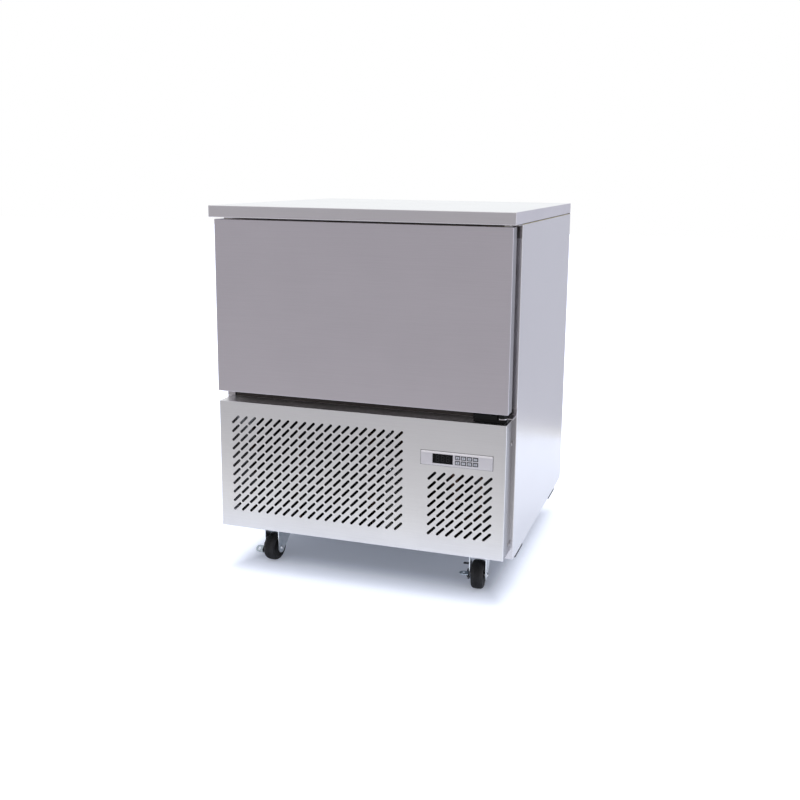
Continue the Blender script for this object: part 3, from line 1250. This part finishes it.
# %% Floor and surroundings
def bare_tree(block):
    """switches a material or world to nodes and empties its tree"""
    block.use_nodes = True
    block.node_tree.nodes.clear()
    return block.node_tree


def looked_at(tree):
    """light path, and 1 where the camera, a reflection or a clear surface looks straight at it"""
    path = add(tree, "ShaderNodeLightPath").outputs
    seen = maths(tree, "ADD", path["Is Camera Ray"], path["Is Glossy Ray"])
    return path, maths(tree, "ADD", seen, path["Is Transmission Ray"], use_clamp=True)


def plane(name, corners, faces, paint_name):
    """flat sheets in metres for the studio, with an empty material"""
    mesh = bpy.data.meshes.new(name)
    mesh.from_pydata(corners, [], faces)
    paint = bpy.data.materials.new(paint_name)
    mesh.materials.append(paint)
    return link(name, mesh), bare_tree(paint)


floor, tree = plane("floor", [(-15, -15, 0), (15, -15, 0), (15, 15, 0), (-15, 15, 0)], [(0, 1, 2, 3)],
                    "pale_studio_floor")
path, seen = looked_at(tree)
spot = add(tree, "ShaderNodeTexCoord").outputs["Object"]
away = add(tree, "ShaderNodeVectorMath", {0: spot}, operation="LENGTH").outputs["Value"]
far_level = ranged(tree, away, 0.0, 0.5, 0.6, 2.4, interpolation_type="SMOOTHSTEP")
flat = add(tree, "ShaderNodeSeparateXYZ", {0: spot}).outputs
width = maths(tree, "MULTIPLY_ADD", maths(tree, "ABSOLUTE", flat["X"]), 2.2, -0.45)
beside = maths(tree, "MAXIMUM", width, maths(tree, "ABSOLUTE", flat["Y"]))
near_level = ranged(tree, beside, 0.13, 0.8, 0.22, 0.43, interpolation_type="SMOOTHSTEP")
lift = maths(tree, "MULTIPLY", seen, maths(tree, "ADD", far_level, near_level))
lift = maths(tree, "MULTIPLY", lift, ranged(tree, path["Is Glossy Ray"], 1.0, 0.62))
matt = add(tree, "ShaderNodeBsdfDiffuse", {"Color": linear("#dee2ec")})
glow = add(tree, "ShaderNodeEmission", {"Color": linear("#e6ebf8"), "Strength": lift})
both = add(tree, "ShaderNodeAddShader", {0: matt.outputs[0], 1: glow.outputs[0]})
add(tree, "ShaderNodeOutputMaterial", {"Surface": both.outputs[0]})

world = bpy.data.worlds.new("studio")
bpy.context.scene.world = world
tree = bare_tree(world)
soft = add(tree, "ShaderNodeBackground", {"Color": linear("#d8dbe4"), "Strength": 0.75})
white = add(tree, "ShaderNodeBackground", {"Color": (1, 1, 1, 1), "Strength": 1.0})
path, seen = looked_at(tree)
mixed = add(tree, "ShaderNodeMixShader", {0: seen, 1: soft.outputs[0], 2: white.outputs[0]})
add(tree, "ShaderNodeOutputWorld", {"Surface": mixed.outputs[0]})


# %% [markdown]
# Steel shows what stands round it. Two grey cards, which only reflections see, stand in for the grey
# sweep in front of the cabinet and the wall behind it on the right. Each pales towards the cabinet.

# %% Cards and lamp
def grey_card(name, corners, tone, near, fade_from, fade_to):
    """card of a level and a rising sheet; near is its tone beside the cabinet"""
    card, tree = plane(name, corners, [(0, 1, 2, 3), (3, 2, 4, 5)], name)
    spot = add(tree, "ShaderNodeTexCoord").outputs["Object"]
    front = add(tree, "ShaderNodeSeparateXYZ", {0: spot}).outputs["Y"]
    fade = ranged(tree, front, 0.0, 1.0, fade_from, fade_to, interpolation_type="SMOOTHSTEP")
    colour = blended(tree, fade, linear(tone), linear(near))
    light = add(tree, "ShaderNodeEmission", {"Color": colour, "Strength": 1.0})
    add(tree, "ShaderNodeOutputMaterial", {"Surface": light.outputs[0]})
    card.visible_camera = card.visible_diffuse = card.visible_shadow = card.visible_transmission = False


grey_card("front_sweep_card", [(-6, -0.7, 0.004), (6, -0.7, 0.004), (6, -4.6, 0.004), (-6, -4.6, 0.004),
                               (6, -4.8, 6), (-6, -4.8, 6)], "#bbb9bc", "#ffffff", -1.8, -0.55)
grey_card("rear_right_card", [(0.1, 1.25, 0.004), (7, 1.25, 0.004), (7, 6, 0.004), (0.1, 6, 0.004),
                              (7, 6, 5), (0.1, 6, 5)], "#d2d3df", "#ffffff", 1.48, 1.24)

softbox = bpy.data.lights.new("overhead_softbox", "AREA")
softbox.shape, softbox.size, softbox.energy, softbox.color = "SQUARE", 3.2, 90, linear("#fffdf8")[:3]
lamp = link("overhead_softbox", softbox)
lamp_at, aim = Vector((-0.1, -0.1, 3.9)), Vector((0, 0, 0.4))
facing = (aim - lamp_at).to_track_quat("-Z", "Y").to_matrix().to_4x4()
lamp.matrix_world = Matrix.Translation(lamp_at) @ facing
lamp.visible_glossy = False
bpy.context.scene.view_settings.view_transform = "Standard"
